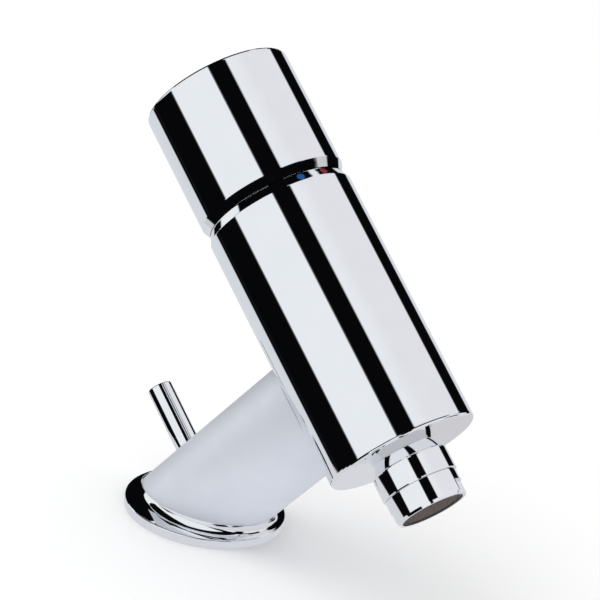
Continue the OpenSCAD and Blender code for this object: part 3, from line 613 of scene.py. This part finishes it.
class TAP_OT_studio(bpy.types.Operator):
    """Set up the floor, the room of cards that the chrome mirrors, the lamp and the camera"""

    bl_idname = "tap.studio"
    bl_label = "Studio"

    def execute(self, context):
        studio = context.scene.tap_studio
        self.make_world(context, studio)
        self.make_floor()
        self.make_cards(studio)
        self.make_bounce()
        self.make_lamp(studio)
        self.make_camera(context, studio)
        context.scene.view_settings.view_transform = "Standard"
        return {"FINISHED"}

    def make_world(self, context, studio):
        """A white room: full white where it is seen, and the studio's light on dull surfaces."""
        world = bpy.data.worlds.new("white_room")
        context.scene.world = world
        world.use_nodes = True
        tree = world.node_tree
        tree.nodes.clear()
        path = add_node(tree, "ShaderNodeLightPath")
        seen = add_node(tree, "ShaderNodeMath", {"operation": "MAXIMUM"},
                        links={0: path.outputs["Is Camera Ray"],
                               1: path.outputs["Is Glossy Ray"]})
        direct = add_node(tree, "ShaderNodeMath", {"operation": "MAXIMUM"},
                          links={0: seen.outputs[0], 1: path.outputs["Is Transmission Ray"]})
        strength = add_node(tree, "ShaderNodeMapRange",
                            inputs={"To Min": studio.world_strength, "To Max": 1.0},
                            links={"Value": direct.outputs[0]})
        background = add_node(tree, "ShaderNodeBackground", inputs={"Color": (1, 1, 1, 1)},
                              links={"Strength": strength.outputs["Result"]})
        add_node(tree, "ShaderNodeOutputWorld",
                 links={"Surface": background.outputs["Background"]})

    def make_floor(self):
        """A matt white paper floor: it shows white and keeps the tap's shadow."""
        deselect_all()
        bpy.ops.mesh.primitive_plane_add(size=FLOOR_SIZE, location=(0, 0, FLOOR_Z))
        floor = bpy.context.object
        floor.name = "floor_paper"
        floor.visible_glossy = False
        material = bpy.data.materials.new("paper_matt_white")
        material.use_nodes = True
        shader = material.node_tree.nodes["Principled BSDF"]
        shader.inputs["Base Color"].default_value = linear("#F8F8F8")
        shader.inputs["Roughness"].default_value = 1.0
        shader.inputs["Specular IOR Level"].default_value = 0.0
        floor.data.materials.append(material)

    def make_cards(self, studio):
        """The room that only mirrors see, round the barrel's axis. Each zone of it is a ring of
        white cards and black flags, placed by what the photographed chrome shows."""
        deselect_all()
        bpy.ops.mesh.primitive_cylinder_add(vertices=ROUND_SIDES, radius=ROOM_RADIUS,
                                            depth=ROOM_LENGTH)
        cards = bpy.context.object
        cards.name = "card_room"
        across = BARREL_AXIS.cross(ROOM_SIDE)
        turn = Matrix((ROOM_SIDE, across, BARREL_AXIS)).transposed().to_4x4()
        cards.matrix_world = Matrix.Translation(ROOM_CENTRE) @ turn
        only_in_mirrors(cards)
        material, tree = bare_material("cards_and_flags")
        place = add_node(tree, "ShaderNodeTexCoord").outputs["Object"]
        way = add_node(tree, "ShaderNodeVectorMath", {"operation": "NORMALIZE"},
                       links={"Vector": place})
        parts = add_node(tree, "ShaderNodeSeparateXYZ", links={"Vector": way.outputs["Vector"]})
        angle = add_node(tree, "ShaderNodeMath", {"operation": "ARCTAN2"},
                         links={0: parts.outputs["Y"], 1: parts.outputs["X"]})
        turned = add_node(tree, "ShaderNodeMapRange",
                          inputs={"From Min": -math.pi, "From Max": math.pi},
                          links={"Value": angle.outputs[0]}).outputs["Result"]
        colours = {name: linear(code) for name, code in CARD_COLOURS.items()}
        colours["card"] = list(studio.card_colour) + [1.0]
        rings = {}
        for zone, stops in RINGS.items():
            rings[zone] = ring_of_cards(tree, turned, [(at, colours[name]) for at, name in stops])
        # In front of the bevels, one, two or three mirrors in a row see different cards: the
        # aerator's ball sees its own by way of the barrel's floor, and that floor sees the ball.
        upward = parts.outputs["Z"]
        mirrors = add_node(tree, "ShaderNodeLightPath").outputs["Glossy Depth"]
        seen = change_at(tree, upward, ZONE_STARTS["front"], rings["within"], rings["front"])
        for count, shown in ((2, rings["within"]), (3, colours["pearl"])):
            seen = change_at(tree, mirrors, count - 0.5, seen, shown)
        for zone in ("low", "level", "behind", "above"):
            seen = change_at(tree, upward, ZONE_STARTS[zone], seen, rings[zone])
        glow = add_node(tree, "ShaderNodeEmission", inputs={"Strength": 1.0},
                        links={"Color": seen})
        add_node(tree, "ShaderNodeOutputMaterial", links={"Surface": glow.outputs["Emission"]})
        cards.data.materials.append(material)

    def make_bounce(self):
        """A white card on the floor round the base, which only what is near it mirrors: a ray that
        has come further than its reach passes through it."""
        deselect_all()
        bpy.ops.mesh.primitive_circle_add(vertices=ROUND_SIDES, radius=BOUNCE_RADIUS,
                                          fill_type="NGON", location=BOUNCE_PLACE)
        bounce = bpy.context.object
        bounce.name = "bounce_card"
        only_in_mirrors(bounce)
        material, tree = bare_material("card_white_near")
        path = add_node(tree, "ShaderNodeLightPath")
        near, far = BOUNCE_REACH
        passed = add_node(tree, "ShaderNodeMapRange", inputs={"From Min": near, "From Max": far},
                          links={"Value": path.outputs["Ray Length"]})
        glow = add_node(tree, "ShaderNodeEmission",
                        inputs={"Color": linear("#DCDDE2"), "Strength": 1.0})
        clear = add_node(tree, "ShaderNodeBsdfTransparent")
        mix = add_node(tree, "ShaderNodeMixShader",
                       links={"Fac": passed.outputs["Result"], 1: glow.outputs["Emission"],
                              2: clear.outputs["BSDF"]})
        add_node(tree, "ShaderNodeOutputMaterial", links={"Surface": mix.outputs["Shader"]})
        bounce.data.materials.append(material)

    def make_lamp(self, studio):
        """A large soft lamp above, which the chrome doesn't mirror."""
        lamp = bpy.data.lights.new("key_softbox", "AREA")
        lamp.size = LAMP_SIZE
        lamp.energy = studio.key_power
        holder = bpy.data.objects.new("key_softbox", lamp)
        holder.location = LAMP_PLACE
        aim = LAMP_TARGET - LAMP_PLACE
        holder.rotation_euler = aim.to_track_quat("-Z", "Y").to_euler()
        holder.visible_glossy = False
        bpy.context.scene.collection.objects.link(holder)

    def make_camera(self, context, studio):
        """The photograph's viewpoint."""
        camera = bpy.data.cameras.new("camera")
        camera.lens = studio.lens
        camera.sensor_width = CAMERA_SENSOR_MM
        camera.clip_start = CAMERA_NEAR
        camera.clip_end = CAMERA_FAR
        holder = bpy.data.objects.new("camera", camera)
        angles = (CAMERA_AZIMUTH, CAMERA_HEIGHT, CAMERA_ROLL)
        azimuth, height, roll = (math.radians(angle) for angle in angles)
        level = Vector((math.cos(azimuth), math.sin(azimuth), 0))
        back = Vector((math.sin(azimuth) * math.cos(height),
                       -math.cos(azimuth) * math.cos(height), math.sin(height)))
        upward = back.cross(level)
        right = math.cos(roll) * level + math.sin(roll) * upward
        up = back.cross(right)
        turn = Matrix((right, up, back)).transposed().to_4x4()
        holder.matrix_world = Matrix.Translation(CAMERA_PLACE) @ turn
        context.scene.collection.objects.link(holder)
        context.scene.camera = holder


class TAP_PT_panel(bpy.types.Panel):
    """The tap's steps, in the 3D view's sidebar"""

    bl_idname = "TAP_PT_panel"
    bl_label = "Bidet mixer tap"
    bl_space_type = "VIEW_3D"
    bl_region_type = "UI"
    bl_category = "Tap"

    def draw(self, context):
        for operator in STEPS:
            self.layout.operator(operator.bl_idname)
        for group in (context.scene.tap_threads, context.scene.tap_gauze, context.scene.tap_studio):
            for name in group.bl_rna.properties.keys():
                if name not in ("rna_type", "name"):
                    self.layout.prop(group, name)


STEPS = (TAP_OT_finishes, TAP_OT_flange, TAP_OT_riser, TAP_OT_threads, TAP_OT_gauze, TAP_OT_studio)
GROUPS = {"tap_threads": TapThreads, "tap_gauze": TapGauze, "tap_studio": TapStudio}


def register():
    for group in GROUPS.values():
        bpy.utils.register_class(group)
    for step in STEPS:
        bpy.utils.register_class(step)
    bpy.utils.register_class(TAP_PT_panel)
    for name, group in GROUPS.items():
        setattr(bpy.types.Scene, name, bpy.props.PointerProperty(type=group))


def unregister():
    for name in GROUPS:
        delattr(bpy.types.Scene, name)
    bpy.utils.unregister_class(TAP_PT_panel)
    for step in reversed(STEPS):
        bpy.utils.unregister_class(step)
    for group in reversed(list(GROUPS.values())):
        bpy.utils.unregister_class(group)


def main():
    register()
    bpy.ops.tap.finishes()
    bpy.ops.tap.flange()
    bpy.ops.tap.riser()
    bpy.ops.tap.threads()
    bpy.ops.tap.gauze()
    bpy.ops.tap.studio()


if __name__ == "__main__":
    main()
